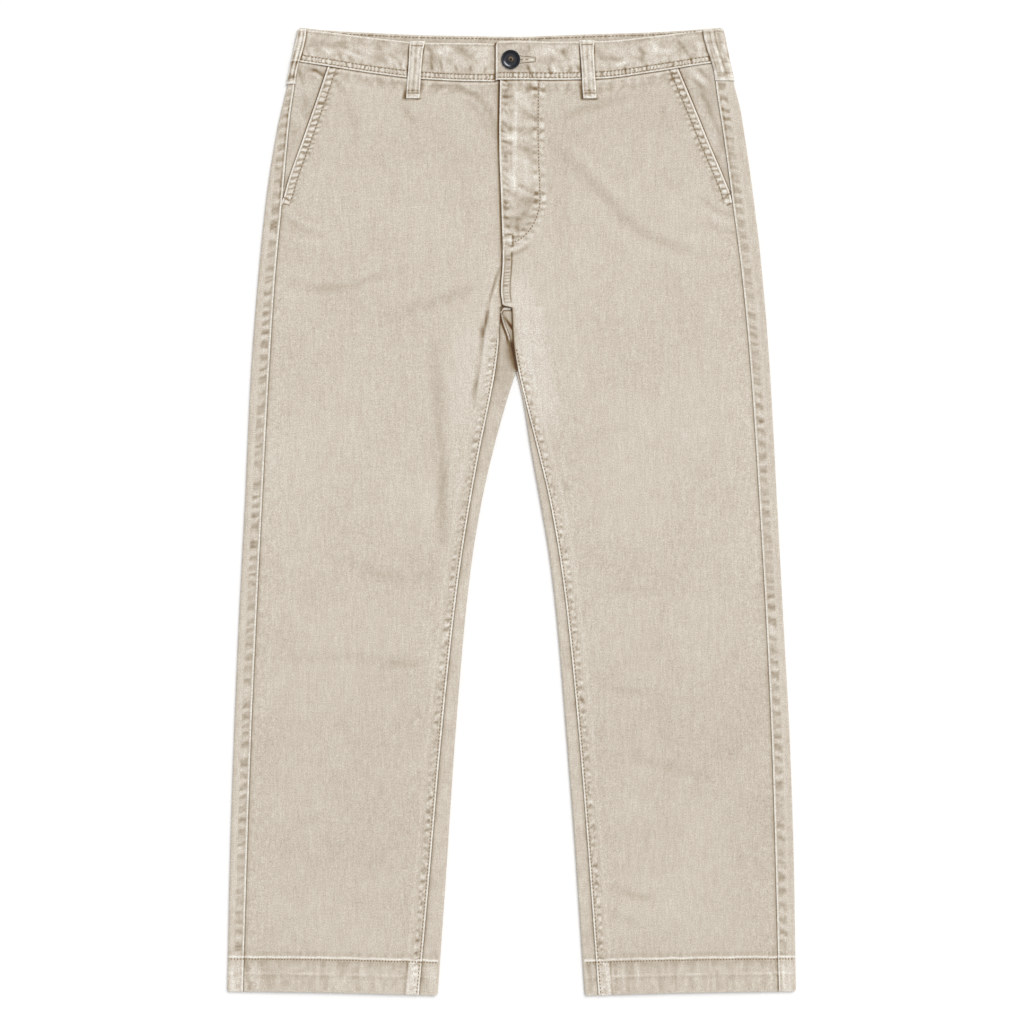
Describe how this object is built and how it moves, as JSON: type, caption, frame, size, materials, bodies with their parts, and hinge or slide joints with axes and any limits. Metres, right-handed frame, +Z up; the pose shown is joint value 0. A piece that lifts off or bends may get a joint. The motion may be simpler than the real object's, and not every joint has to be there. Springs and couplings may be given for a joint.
{
  "type": "chino trousers laid flat",
  "caption": "Straight-leg cotton chino trousers lying flat on their back, fly closed, with slanted front pockets and belt loops.",
  "frame": {"origin": "centre of the garment's outline, on the surface that it lies on", "axes": "+X to the wearer's left, +Y from the hems to the waist, +Z up off the surface"},
  "size_m": [0.6146, 1.048, 0.0097],
  "materials": {
    "twill": "garment-washed cotton twill, matte",
    "waistband_twill": "garment-washed cotton twill, worn at the edges, matte",
    "facing_twill": "garment-washed cotton twill, matte",
    "button_metal": "dark satin metal with a worn rim"
  },
  "bodies": {
    "root": {"front_right": "twill", "front_left": "twill", "back_right": "twill", "back_left": "twill", "waistband_right": "waistband_twill", "waistband_left": "waistband_twill", "pocket_facing_right": "facing_twill", "pocket_facing_left": "facing_twill", "belt_loop_front_right": "waistband_twill", "belt_loop_front_left": "waistband_twill", "belt_loop_side_right": "waistband_twill", "belt_loop_side_left": "waistband_twill", "button": "button_metal"}
  },
  "joints": []
}
